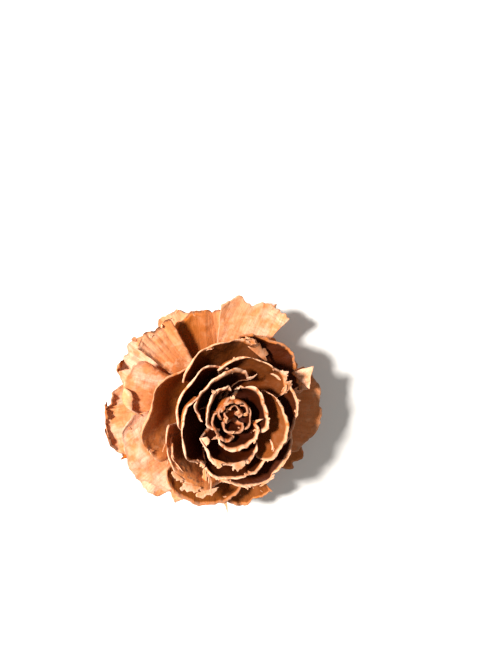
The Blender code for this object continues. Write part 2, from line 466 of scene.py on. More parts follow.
    def build(self) -> Thing:
        """Models the scale from a grid: grown into its fan, thickened, rounded and worn.

        Returns:
            The scale, with its place in its mesh.
        """
        made, across, along = add_grid(self.columns, self.rows)
        sheet = self.sheet(across, 1.0 - (1.0 - along) ** self.rows_to_rim)
        set_vertex_rows(made, sheet.place * MM)
        thickest = 2.0 * float(sheet.half.max())
        thick = made.vertex_groups.new(name="thick")
        for index, half in enumerate(sheet.half):
            thick.add([index], 2.0 * float(half) / thickest, "REPLACE")
        keep_marks(made, {"side": sheet.side, "run": sheet.run, "from_rim": sheet.from_rim})
        keep_vectors(made, "through", sheet.through)
        keep_vectors(made, "growing", sheet.growing)
        thicken(made, thickest, thick.name)
        made.vertex_groups.clear()
        self.wear(made)
        return made

    def wear(self, made: Thing) -> None:
        """Crumples the skin, frays the rim and keeps what the wood finish reads.

        Args:
            made: The scale's object, changed in place.
        """
        side, run, from_rim = (kept(made, name) for name in ("side", "run", "from_rim"))
        through, growing = (kept_vectors(made, name) for name in ("through", "growing"))
        normals = read(made.data.vertex_normals, "vector", 3)
        skin = self.uneven(Seed.SKIN, side, run, self.crumple_size, 3)
        ragged = self.uneven(Seed.FRAY, side, run * self.fray_stretch, self.fray_size, 3)
        near = 1.0 - smooth(from_rim, 0.0, self.fray_reach)
        place = vertex_rows(made) / MM
        place = place + normals * (self.crumple * skin)[:, None]
        place = place + growing * (self.fray * ragged * near)[:, None]
        set_vertex_rows(made, place * MM)
        drop(made, "side", "through", "growing")
        across = side / self.rule.half_width(self.number)
        facing = np.einsum("ij,ij->i", normals, through)
        tone = self.rule.wobble(self.number, Use.TONE)
        keep_marks(made, {"facing": facing, "tone": tone, **self.wear_and_light.marks(self.number, across)})
        keep_uv(made, side, run, self.number)


def unselect() -> None:
    """Leaves nothing selected."""
    bpy.ops.object.select_all(action="DESELECT")


def add_grid(columns: int, rows: int) -> tuple[Thing, Array, Array]:
    """Adds a flat grid, the only thing selected.

    Args:
        columns: How many faces it has across.
        rows: How many faces it has along.

    Returns:
        The grid, and where its vertices lie across, from -1 to 1, and along, from 0 to 1.
    """
    unselect()
    bpy.ops.mesh.primitive_grid_add(x_subdivisions=columns, y_subdivisions=rows, size=2.0)
    made = bpy.context.object
    flat = vertex_rows(made)
    return made, flat[:, 0], (flat[:, 1] + 1.0) / 2.0


def thicken(made: Thing, thickness: float, group: str = "") -> None:
    """Gives a sheet its thickness, in mm, less where its vertex group says so, and rounds it."""
    solidify = made.modifiers.new("thickness", "SOLIDIFY")
    solidify.thickness = thickness * MM
    solidify.offset = 0.0
    solidify.vertex_group = group
    bpy.ops.object.modifier_apply(modifier=solidify.name)
    round_off(made)


def round_off(made: Thing) -> None:
    """Rounds a mesh by one level of subdivision."""
    rounding = made.modifiers.new("rounding", "SUBSURF")
    rounding.levels = rounding.render_levels = 1
    bpy.ops.object.modifier_apply(modifier=rounding.name)


def read(source: bpy.types.bpy_prop_collection, what: str, width: int = 1) -> Array:
    """Reads one property of every item in a collection.

    Args:
        source: The collection.
        what: The property.
        width: How many numbers it has.

    Returns:
        One number for each item, or one row where it has several.
    """
    values = np.empty(len(source) * width, dtype=np.float32)
    source.foreach_get(what, values)
    return values.astype(float).reshape((-1, width) if width > 1 else -1)


def vertex_rows(made: Thing) -> Array:
    """The places of an object's vertices, one row each."""
    return read(made.data.vertices, "co", 3)


def set_vertex_rows(made: Thing, rows: Array) -> None:
    """Moves an object's vertices to the places given, one row each."""
    made.data.vertices.foreach_set("co", rows.astype(np.float32).ravel())
    made.data.update()


def keep_marks(made: Thing, marks: dict[str, float | Array]) -> None:
    """Keeps one number for the whole of an object, or one for each vertex, under each name."""
    for name, value in marks.items():
        layer = made.data.attributes.get(name) or made.data.attributes.new(name, "FLOAT", "POINT")
        layer.data.foreach_set("value", np.full(len(made.data.vertices), value, dtype=np.float32))


def kept(made: Thing, name: str) -> Array:
    """The numbers that keep_marks kept under a name."""
    return read(made.data.attributes[name].data, "value")


def keep_vectors(made: Thing, name: str, rows: Array) -> None:
    """Keeps one direction for each vertex under a name."""
    layer = made.data.attributes.new(name, "FLOAT_VECTOR", "POINT")
    layer.data.foreach_set("vector", rows.astype(np.float32).ravel())


def kept_vectors(made: Thing, name: str) -> Array:
    """The directions that keep_vectors kept, made one long each."""
    rows = read(made.data.attributes[name].data, "vector", 3)
    return rows / np.maximum(np.linalg.norm(rows, axis=1), 1e-9)[:, None]


def drop(made: Thing, *names: str) -> None:
    """Forgets what was kept under these names."""
    for name in names:
        made.data.attributes.remove(made.data.attributes[name])


def keep_uv(made: Thing, side: Array, run: Array, spot: int) -> None:
    """Lays fan coordinates out as an object's UV map, in cm.

    Args:
        made: The object.
        side: Distance to the side at each vertex, in mm.
        run: Distance outwards at each vertex, in mm.
        spot: Where on the map they lie, a number for each scale.
    """
    for layer in list(made.data.uv_layers):
        made.data.uv_layers.remove(layer)
    layer = made.data.uv_layers.new(name="fan")
    corners = np.empty(len(made.data.loops), dtype=np.int32)
    made.data.loops.foreach_get("vertex_index", corners)
    flat = [row[corners] / UV_MM + step * spot for row, step in zip((side, run), UV_STEPS)]
    layer.data.foreach_set("uv", np.column_stack(flat).astype(np.float32).ravel())


def joined(parts: list[Thing], name: str, finish: "WoodFinish") -> Thing:
    """Joins modelled parts into one finished piece.

    Args:
        parts: The parts.
        name: The piece's name.
        finish: The piece's finish.

    Returns:
        The piece.
    """
    unselect()
    for part in parts:
        part.select_set(True)
    bpy.context.view_layer.objects.active = parts[0]
    bpy.ops.object.join()
    made = bpy.context.object
    made.name = name
    finish_piece(made, finish)
    return made


def finish_piece(made: Thing, finish: "WoodFinish") -> None:
    """Gives a piece its material and smooth shading, and puts it on the frame.

    Args:
        made: The piece.
        finish: Its finish.
    """
    made.data.name = made.name
    made.data.materials.clear()
    made.data.materials.append(finish.material())
    made.data.shade_smooth()
    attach(made, BODY)
    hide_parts(NODE)


class Sketch:
    """A shader node tree that is being wired up."""

    def __init__(self, tree: bpy.types.NodeTree) -> None:
        """Takes the tree to wire up."""
        self.tree = tree

    def feed(self, socket: Socket, value: object) -> None:
        """Links a socket to another one, or sets its value."""
        if isinstance(value, Socket):
            self.tree.links.new(value, socket)
        else:
            socket.default_value = value

    def add(self, kind: str, inputs: dict | None = None, **settings: object) -> bpy.types.Node:
        """Adds a node.

        Args:
            kind: The node's type, without its ShaderNode prefix.
            inputs: What each input is fed, by name or place.
            settings: The node's own properties.

        Returns:
            The node.
        """
        node = self.tree.nodes.new(f"ShaderNode{kind}")
        for name, value in settings.items():
            setattr(node, name, value)
        for name, value in (inputs or {}).items():
            self.feed(node.inputs[name], value)
        return node

    def calc(self, kind: str, first: object, second: object = 0.0, clamp: bool = False) -> Socket:
        """A Math node's result for one or two numbers."""
        return self.add("Math", {0: first, 1: second}, operation=kind, use_clamp=clamp).outputs[0]

    def times(self, first: object, *others: object) -> Socket:
        """The product of two or more numbers."""
        for other in others:
            first = self.calc("MULTIPLY", first, other)
        return first

    def blend(self, share: object, first: object, second: object, kind: str = "MIX") -> Socket:
        """Two colours mixed by a share."""
        node = self.add("Mix", {0: share, 6: first, 7: second}, data_type="RGBA", blend_type=kind)
        return node.outputs[2]

    def ease(self, value: object, low: float, high: float, to: Span = (0.0, 1.0)) -> Socket:
        """A value eased from one range to another."""
        inputs = {"Value": value, "From Min": low, "From Max": high, "To Min": to[0], "To Max": to[1]}
        return self.add("MapRange", inputs, interpolation_type="SMOOTHSTEP").outputs[0]

    def noise(self, where: object, scale: object, detail: float, **others: float) -> Socket:
        """A Noise Texture's value, with its Roughness or Distortion where they aren't the usual ones."""
        more = {name.title(): value for name, value in others.items()}
        return self.add("TexNoise", {"Vector": where, "Scale": scale, "Detail": detail, **more}).outputs[0]


@dataclass(frozen=True)
class Effect:
    """A shader node group: its name, its inputs with their usual values, and the function that wires it up."""

    name: str
    inputs: dict[str, float | None]
    wire: Callable

    def tree(self) -> bpy.types.NodeTree:
        """Builds the group, or finds the one built before. An input with no usual value is a place."""
        if self.name in bpy.data.node_groups:
            return bpy.data.node_groups[self.name]
        group = bpy.data.node_groups.new(self.name, "ShaderNodeTree")
        for label, value in self.inputs.items():
            kind = "NodeSocketVector" if value is None else "NodeSocketFloat"
            socket = group.interface.new_socket(label, in_out="INPUT", socket_type=kind)
            if value is not None:
                socket.default_value = value
        source = group.nodes.new("NodeGroupInput")
        made = self.wire(Sketch(group), *(source.outputs[label] for label in self.inputs))
        for label in made:
            group.interface.new_socket(label, in_out="OUTPUT", socket_type="NodeSocketFloat")
        sink = group.nodes.new("NodeGroupOutput")
        for label, value in made.items():
            group.links.new(value, sink.inputs[label])
        return group


def wire_fibres(sketch: Sketch, fan: Socket, fineness: Socket, stretch: Socket) -> dict[str, Socket]:
    """Woody fibres that run from the root of a scale to its rim: a mask and a height."""
    across, along, _ = sketch.add("SeparateXYZ", {0: fan}).outputs
    drawn_out = sketch.add("CombineXYZ", {0: across, 1: sketch.times(along, stretch)}).outputs[0]
    coarse = sketch.noise(drawn_out, fineness, 4.0, roughness=0.62)
    fine = sketch.noise(drawn_out, sketch.times(fineness, 3.1), 4.0, roughness=0.6)
    both = sketch.calc("ADD", sketch.times(coarse, 0.65), sketch.times(fine, 0.35))
    return {"Mask": sketch.ease(both, 0.36, 0.64), "Height": both}


def wire_arcs(sketch: Sketch, fan: Socket, spacing: Socket, wander: Socket) -> dict[str, Socket]:
    """Fine growth arcs that follow the rim of a scale: a mask and a height."""
    wave = {"Vector": fan, "Scale": spacing, "Distortion": wander, "Detail": 3.0, "Detail Scale": 1.4}
    waves = sketch.add("TexWave", wave, bands_direction="Y", wave_profile="SAW").outputs["Fac"]
    shown = sketch.ease(sketch.noise(fan, 2.2, 2.0), 0.42, 0.62)
    return {"Mask": sketch.times(sketch.ease(waves, 0.6, 1.0), shown), "Height": sketch.times(waves, shown)}


def wire_mottle(sketch: Sketch, place: Socket, blotch_size: Socket, speck_size: Socket) -> dict[str, Socket]:
    """Blotches, specks and the pale bloom of dry bark over a surface: three masks and a height."""
    blotches = sketch.noise(place, blotch_size, 3.0, roughness=0.5, distortion=0.3)
    specks = sketch.noise(place, speck_size, 2.0, roughness=0.7)
    bloom = sketch.noise(place, sketch.times(blotch_size, 3.5), 5.0, distortion=0.2)
    return {
        "Blotches": sketch.ease(blotches, 0.35, 0.66),
        "Specks": sketch.ease(specks, 0.60, 0.74),
        "Bloom": sketch.ease(bloom, 0.50, 0.68),
        "Height": sketch.calc("ADD", sketch.times(specks, 0.6), sketch.times(bloom, 0.4)),
    }


def wire_rim(sketch: Sketch, from_rim: Socket, facing: Socket, fan: Socket, reach: Socket) -> dict[str, Socket]:
    """Where a rim is worn pale: most on the bare edge, and in tongues that reach inwards."""
    sideways = sketch.calc("SUBTRACT", 1.0, sketch.calc("ABSOLUTE", facing))
    near = sketch.ease(sketch.calc("DIVIDE", from_rim, reach), 0.0, 1.0, (1.0, 0.0))
    patchy = sketch.noise(fan, 4.5, 4.0, roughness=0.6)
    broken = sketch.ease(patchy, 0.33, 0.52, (0.15, 1.0))
    return {
        "Edge": sketch.times(sketch.ease(sideways, 0.25, 0.75), near, broken),
        "Tongues": sketch.times(near, sketch.ease(patchy, 0.34, 0.51)),
    }


FIBRES = Effect("woody fibres", {"Fan": None, "Fineness": 13.0, "Stretch": 0.07}, wire_fibres)
ARCS = Effect("growth arcs", {"Fan": None, "Spacing": 3.1, "Wander": 5.0}, wire_arcs)
MOTTLE = Effect("bark mottle", {"Place": None, "Blotch Size": 150.0, "Speck Size": 1500.0}, wire_mottle)
WORN_RIM = Effect("worn rim", {"From Rim": 1.0, "Facing": 0.0, "Fan": None, "Reach": 1.2}, wire_rim)


@dataclass(frozen=True)
class WoodFinish:
    """Dry cone wood: reddish brown, paler and orange where worn, palest at frayed rims; painted shade and light too.
    """

    name: str
    pale: Color = (0.71, 0.335, 0.175, 1.0)
    middle: Color = (0.50, 0.135, 0.012, 1.0)
    deep: Color = (0.25, 0.050, 0.004, 1.0)
    grain: Color = (0.38, 0.085, 0.008, 1.0)
    rim: Color = (0.68, 0.385, 0.25, 1.0)
    speck: Color = (0.09, 0.026, 0.010, 1.0)
    bloom: Color = (0.68, 0.39, 0.235, 1.0)
    chalk: Color = (0.76, 0.47, 0.335, 1.0)
    # painted shade: dark colour multiplied onto the inner faces of shaded scales, away from their rims
    painted_shade: Color = (0.09, 0.05, 0.015, 1.0)
    deep_to_middle: Span = (7.0, 28.0)
    tone_share: float = 0.12
    chalk_share: float = 0.8
    grain_share: float = 0.40
    arc_share: Span = (0.12, 0.32)
    speck_share: float = 0.30
    bloom_reach: float = 10.0
    bloom_share: Span = (0.7, 0.1)
    tongue_share: float = 0.55
    # painted light: how pale the band by the rim of shaded scales is
    lit_band_share: float = 0.95
    roughness: float = 0.56
    smoother: float = 0.08
    rougher: float = 0.14
    specular: float = 0.1
    relief: float = 0.00026
    relief_strength: float = 0.8
    mottle_height: float = 0.8

    def material(self) -> bpy.types.Material:
        """Builds the material, or finds the one built before.

        Returns:
            The material.
        """
        if self.name in bpy.data.materials:
            return bpy.data.materials[self.name]
        made = bpy.data.materials.new(self.name)
        made.use_nodes = True
        sketch = Sketch(made.node_tree)
        shader = made.node_tree.nodes["Principled BSDF"].inputs
        place = sketch.add("TexCoord").outputs["Object"]
        fan = sketch.add("UVMap", uv_map="fan").outputs[0]
        marks = {name: sketch.add("Attribute", attribute_name=name).outputs["Fac"] for name in MARKS}
        fibres = sketch.add("Group", {"Fan": fan}, node_tree=FIBRES.tree()).outputs
        arcs = sketch.add("Group", {"Fan": fan}, node_tree=ARCS.tree()).outputs
        mottle = sketch.add("Group", {"Place": place}, node_tree=MOTTLE.tree()).outputs
        rim = {"From Rim": marks["from_rim"], "Facing": marks["facing"], "Fan": fan}
        worn = sketch.add("Group", rim, node_tree=WORN_RIM.tree()).outputs

        # bleach carries real bleaching and painted light; shade is painted shade
        bleach_and_light, char, shade = marks["bleach_and_light"], marks["char"], marks["shade"]
        blotches, tongues, edge = mottle["Blotches"], worn["Tongues"], worn["Edge"]
        outward = sketch.ease(marks["run"], *self.deep_to_middle)
        toned = sketch.calc("ADD", outward, sketch.times(marks["tone"], self.tone_share), clamp=True)
        broad = sketch.ease(blotches, 0.0, 1.0, (0.55, 1.0))
        pale = sketch.times(bleach_and_light, broad, sketch.ease(outward, 0.0, 1.0, (0.2, 1.0)))
        chalky = sketch.times(sketch.ease(bleach_and_light, 0.75, 1.0), sketch.ease(blotches, 0.1, 0.9), self.chalk_share)
        arced = sketch.ease(bleach_and_light, 0.7, 1.0, self.arc_share)
        bloom = sketch.ease(marks["from_rim"], 0.0, self.bloom_reach, self.bloom_share)
        # where the painted shade starts: an uneven edge a little way in from the rim
        within = sketch.calc("DIVIDE", marks["from_rim"], marks["lip"])
        uneven = sketch.calc("ADD", within, sketch.ease(mottle["Bloom"], 0.0, 1.0, (-0.5, 0.5)))
        inside = sketch.ease(marks["facing"], -0.1, 0.4)
        undarkened = sketch.calc("SUBTRACT", 1.0, char)
        # pale rim: the worn bare edge, and on shaded scales a band by the rim painted as lit
        worn_and_lit_rim = sketch.calc("MAXIMUM", edge, sketch.times(tongues, self.lit_band_share, shade))
        ground = sketch.blend(toned, self.deep, self.middle)
        for share, color, *kind in (
            (pale, self.pale),
            (chalky, self.chalk),
            (sketch.times(fibres["Mask"], self.grain_share), self.grain),
            (sketch.times(arcs["Mask"], arced), self.grain),
            (sketch.times(mottle["Specks"], self.speck_share), self.speck),
            (sketch.times(mottle["Bloom"], bloom, bleach_and_light), self.bloom),
            # painted shade on the inner faces, darker away from the rim
            (sketch.times(shade, inside, sketch.ease(uneven, 0.5, 1.4)), self.painted_shade, "MULTIPLY"),
            (sketch.times(tongues, self.tongue_share, undarkened), self.bloom),
            (sketch.times(worn_and_lit_rim, undarkened, marks["rim"]), self.rim),
            # darker rims and tongues where the dark edge value says so
            (sketch.times(sketch.calc("MAXIMUM", edge, tongues), char), self.speck),
        ):
            ground = sketch.blend(share, ground, color, *kind)
        sketch.feed(shader["Base Color"], ground)

        rough = (self.roughness - self.smoother, self.roughness + self.rougher)
        sketch.feed(shader["Roughness"], sketch.ease(blotches, 0.0, 1.0, rough))
        sketch.feed(shader["Specular IOR Level"], self.specular)
        height = sketch.calc("ADD", fibres["Height"], sketch.times(arcs["Height"], arced))
        height = sketch.calc("ADD", height, sketch.times(mottle["Height"], self.mottle_height))
        bump = {"Height": height, "Strength": self.relief_strength, "Distance": self.relief}
        sketch.feed(shader["Normal"], sketch.add("Bump", bump).outputs[0])
        return made


@dataclass(frozen=True)
class WearAndPaintedLight:
    """Each scale's bleach and painted light, rim darkness, painted inner shade, and its unshaded pale rim's width.
    """

    # real bleaching, partly painted light: some scales are paler here so they look lit
    bleached_and_lit: Table = by_scale({
        0: 0.8, 3: 1.0, 6: 0.95, 7: 0.2, 8: 0.3, 9: 0.95, 11: 1.0, 12: 0.1, 13: 0.85, 14: 1.0, 15: 0.5,
        16: 0.78, 17: 0.1, 18: 0.1, 19: 0.3, 20: 0.1, 22: 0.45,
    })
    edge_darkened: Table = by_scale({3: 0.5, 6: 0.8, 8: 0.8, 13: 0.3, 15: 0.3, 16: 0.95, 18: 0.5, 19: 0.2})
    # painted shade: how dark each scale's inner face is painted; unlisted cup scales fully, unlisted open scales not
    # at all
    shaded: Table = by_scale({
        7: 0.37, 8: 0.27, 12: 0.7, 15: 0.0, 17: 0.73, 19: 0.27, 21: 0.8, 22: 0.64, 26: 0.78, 28: 0.6,
    })
    # painted light and shade: on these scales one side across is painted paler and the other darker
    light_slope: Table = by_scale({3: 0.1, 8: -0.5, 13: -0.15, 16: 0.1, 19: 0.3})
    # how far in from the rim, in mm, the painted shade starts
    lips: Table = by_scale({16: 0.65, 19: 0.9, 20: 0.5, 22: 3.0, 23: 0.5, 25: 0.7, 26: 0.7, 27: 0.8, 28: 0.6})
    rims: Table = by_scale({
        18: 0.3, 19: 0.22, 20: 0.6, 21: 0.4, 22: 0.8, 23: 0.6, 25: 0.8, 26: 0.55, 28: 0.7,
    })
    first_cup: int = 18
    first_core: int = 34
    open_bleach: float = 0.55
    cup_bleach: float = 0.22
    open_dark_edge: float = 0.45
    core_dark_edge: float = 0.3
    usual_lip: float = 0.7
    usual_rim: float = 0.9
    core_rim: float = 0.4

    def marks(self, number: int, across: Array) -> dict[str, float | Array]:
        """What the wood finish reads about one scale, with painted light and shade, each 0 to 1 but the lip, in mm.

        Args:
            number: The scale's number up the spiral.
            across: Places across the scale, from -1 to 1.

        Returns:
            Each value under its name, one for the whole scale or one for each place.
        """
        cup, core = number >= self.first_cup, number >= self.first_core
        bleach_and_light = self.bleached_and_lit.get(number, self.cup_bleach if cup else self.open_bleach)
        shade = self.shaded.get(number, 1.0 if cup else 0.0)
        # painted light on one side across, painted shade on the other
        light_slope = self.light_slope.get(number, 0.0) * across
        return {
            "bleach_and_light": np.clip(bleach_and_light + light_slope, 0.0, 1.0),
            "char": self.edge_darkened.get(number, self.core_dark_edge if core else 0.0 if cup else self.open_dark_edge),
            "shade": np.clip(shade - light_slope, 0.0, 1.0),
            "lip": self.lips.get(number, self.usual_lip),
            "rim": self.rims.get(number, self.core_rim if core else self.usual_rim),
        }


@dataclass
class Tier:
    """A run of scales up the spiral, joined into one piece."""

    name: str
    first: int
    last: int
    columns: int
    rows: int
    nick_depth: float
    crumple: float

    def build(self, rose: "CedarRose") -> Thing:
        """Models and dresses the tier.

        Args:
            rose: The rose that it is a part of.

        Returns:
            The joined piece.
        """
        scales = [
            Scale(
                rose.rule,
                rose.wear_and_light,
                number,
                self.columns,
                self.rows,
                rose.notches.get(number, ()),
                rose.curls.get(number, ()),
                nick_depth=self.nick_depth,
                crumple=self.crumple,
            ).build()
            for number in range(self.first, self.last + 1)
        ]
        return joined(scales, self.name, rose.bark)


@dataclass(frozen=True)
class Flake:
    """A torn sliver of skin: where it is rooted on its scale and how it stands off there, in mm and degrees."""

    number: int
    across: float
    along: float
    length: float
    width: float
    heading: float
    lift: float
    curl: float
    twist: float
    taper: float
    teeth: float
    bleach_and_light: float
    bluntness: float = 1.6
    face: Face = Face.OUTER
    char: float = 0.0
    on_curl: bool = False
    columns: int = 9
    rows: int = 11


@dataclass
class TornSkin:
    """Every torn sliver that stands off the scales, joined into one piece."""

    flakes: tuple[Flake, ...]
    name: str = "torn_skin"
    thickness: float = 0.22
    tooth_size: float = 0.7
    margins_apart: float = 9.0
    root_depth: float = 0.25
    root_run: float = 20.0
    from_rim: float = 0.1
    facing: float = 0.6
    tone: float = 0.3
    map_spots: int = 50

    def build(self, rose: "CedarRose") -> Thing:
        """Models and dresses the slivers.

        Args:
            rose: The rose that they stand on.

        Returns:
            The joined piece.
        """
        slivers = [self.sliver(rose, flake, Seed.SLIVER + index) for index, flake in enumerate(self.flakes)]
        return joined(slivers, self.name, rose.bark)

    def sliver(self, rose: "CedarRose", flake: Flake, seed: int) -> Thing:
        """Models one sliver from a grid: torn to its outline, bent along its length and thickened.

        Args:
            rose: The rose that it stands on.
            flake: What the sliver is like.
            seed: What its uneven edges start from.

        Returns:
            The sliver.
        """
        made, beside, out = add_grid(flake.columns, flake.rows)
        down = out * flake.length + self.margins_apart * np.sign(beside)
        margin = Unevenness(seed).at(down, out * 0.0, self.tooth_size)
        tip = Unevenness(seed + Seed.SLIVER_TIP).at(beside * flake.width, beside * 0.0, self.tooth_size)
        width = flake.width / 2 * (1.0 - out**flake.bluntness * flake.taper) * (1.0 + flake.teeth * margin)
        reach = flake.length * out * (1.0 + flake.teeth * tip * out)
        across = beside * width
        set_vertex_rows(made, self.bent(rose, flake, across, reach, out) * MM)
        inwards = np.minimum(width * (1.0 - np.abs(beside)), flake.length * (1.0 - out)) + self.from_rim
        keep_marks(made, {"from_rim": inwards, "across": across, "run": reach + self.root_run})
        thicken(made, self.thickness)
        across = kept(made, "across")
        drop(made, "across")
        marks = {"facing": self.facing, "tone": self.tone, "char": flake.char}
        keep_marks(made, {**PLAIN_MARKS, **marks, "bleach_and_light": flake.bleach_and_light, "rim": flake.bleach_and_light})
        keep_uv(made, across, kept(made, "run"), seed % self.map_spots)
        return made

    def bent(
        self, rose: "CedarRose", flake: Flake, beside: Array, reach: Array, out: Array
    ) -> Array:
        """Lays a sliver's flat points onto its scale and bends them off it.

        Args:
            rose: The rose that it stands on.
            flake: What the sliver is like.
            beside: Distances to the side of its middle line, in mm.
            reach: Distances along its middle line, in mm.
            out: Shares of its length.

        Returns:
            The points, in mm.
        """
        curls = rose.curls.get(flake.number, ()) if flake.on_curl else ()
        scale = Scale(rose.rule, rose.wear_and_light, flake.number, curls=curls)
        root = scale.sheet(np.array((flake.across,)), np.array((flake.along,)))
        normal = root.through[0] * flake.face.value
        heading = math.radians(flake.heading)
        ahead = root.growing[0] * math.cos(heading) + root.sideways[0] * math.sin(heading)
        wide = root.sideways[0] * math.cos(heading) - root.growing[0] * math.sin(heading)
        lift, curl = math.radians(flake.lift), math.radians(flake.curl)
        radius = flake.length / curl
        turned = lift + reach / radius
        forth = radius * (np.sin(turned) - math.sin(lift))
        up = radius * (math.cos(lift) - np.cos(turned))
        crest = between(normal, -ahead, lift + curl * out)
        across = between(wide, crest, math.radians(flake.twist) * out)
        start = root.place[0] - normal * self.root_depth
        return start + ahead * forth[:, None] + normal * up[:, None] + across * beside[:, None]


@dataclass
class Stump:
    """The short woody axis inside the rose, snapped off below."""

    name: str = "snapped_axis"
    outline: tuple[Span, ...] = (
        (0.0, 3.9), (1.2, 4.5), (4.0, 4.7), (10.0, 4.5), (18.0, 3.5), (23.0, 2.4), (26.0, 1.3),
    )
    sides: int = 40
    rim_share: float = 0.98
    rib_height: float = 0.22
    rib_size: float = 0.5
    ribs_around: float = 3.0
    rib_stretch: float = 0.15
    ribs_from: float = 2.0
    splinter_height: float = 0.5
    splinter_size: float = 0.9
    splinter_top: float = 0.6
    splinter_radius: float = 3.6
    map_radius: float = 4.0
    map_spot: int = 60

    def build(self, rose: "CedarRose") -> Thing:
        """Models the axis from a circle drawn up along its outline, with a splintered lower end.

        Args:
            rose: The rose that it carries.

        Returns:
            The axis.
        """
        unselect()
        foot, radius = self.outline[0]
        bpy.ops.mesh.primitive_circle_add(
            vertices=self.sides, radius=radius * MM, fill_type="NGON", location=(0.0, 0.0, foot * MM)
        )
        made = bpy.context.object
        made.name = self.name
        bpy.ops.object.transform_apply(location=True, rotation=True, scale=True)
        bpy.ops.object.mode_set(mode="EDIT")
        bpy.ops.mesh.select_all(action="SELECT")
        for _ in range(2):
            bpy.ops.mesh.inset(thickness=radius * MM / 3)
        bpy.ops.object.mode_set(mode="OBJECT")
        mesh = made.data
        rim = {v.index for v in mesh.vertices if math.hypot(v.co.x, v.co.y) > radius * MM * self.rim_share}
        for vertex in mesh.vertices:
            vertex.select = vertex.index in rim
        for edge in mesh.edges:
            edge.select = rim.issuperset(edge.vertices)
        for face in mesh.polygons:
            face.select = False
        bpy.ops.object.mode_set(mode="EDIT")
        bpy.ops.mesh.select_mode(type="EDGE")
        for (low, inner), (high, outer) in zip(self.outline, self.outline[1:]):
            bpy.ops.mesh.extrude_edges_move(TRANSFORM_OT_translate={"value": (0.0, 0.0, (high - low) * MM)})
            bpy.ops.transform.resize(value=(outer / inner, outer / inner, 1.0), center_override=(0.0, 0.0, 0.0))
        bpy.ops.mesh.edge_face_add()
        bpy.ops.mesh.select_all(action="SELECT")
        bpy.ops.mesh.normals_make_consistent(inside=False)
        bpy.ops.object.mode_set(mode="OBJECT")
        round_off(made)
        self.splinter(made)
        finish_piece(made, rose.bark)
        return made

    def splinter(self, made: Thing) -> None:
        """Roughens the bark and breaks up the lower end, which still stands level.

        Args:
            made: The axis, changed in place.
        """
        x, y, z = (vertex_rows(made) / MM).T
        turn, radius = np.arctan2(y, x), np.hypot(x, y)
        ribs = Unevenness(Seed.AXIS_RIBS).at(turn * self.ribs_around, z * self.rib_stretch, self.rib_size)
        grown = radius + np.where(radius > self.ribs_from, ribs * self.rib_height, 0.0)
        broken = np.abs(Unevenness(Seed.AXIS_BREAK).at(x, y, self.splinter_size)) * self.splinter_height
        end = (z < self.splinter_top) & (radius < self.splinter_radius)
        height = np.maximum(np.where(end, np.maximum(z, 0.0) + broken, z), 0.0)
        set_vertex_rows(made, np.column_stack((grown * np.cos(turn), grown * np.sin(turn), height)) * MM)
        keep_marks(made, {**PLAIN_MARKS, "run": 9.0, "from_rim": 9.0, "facing": 1.0})
        keep_uv(made, turn * self.map_radius, height, self.map_spot)


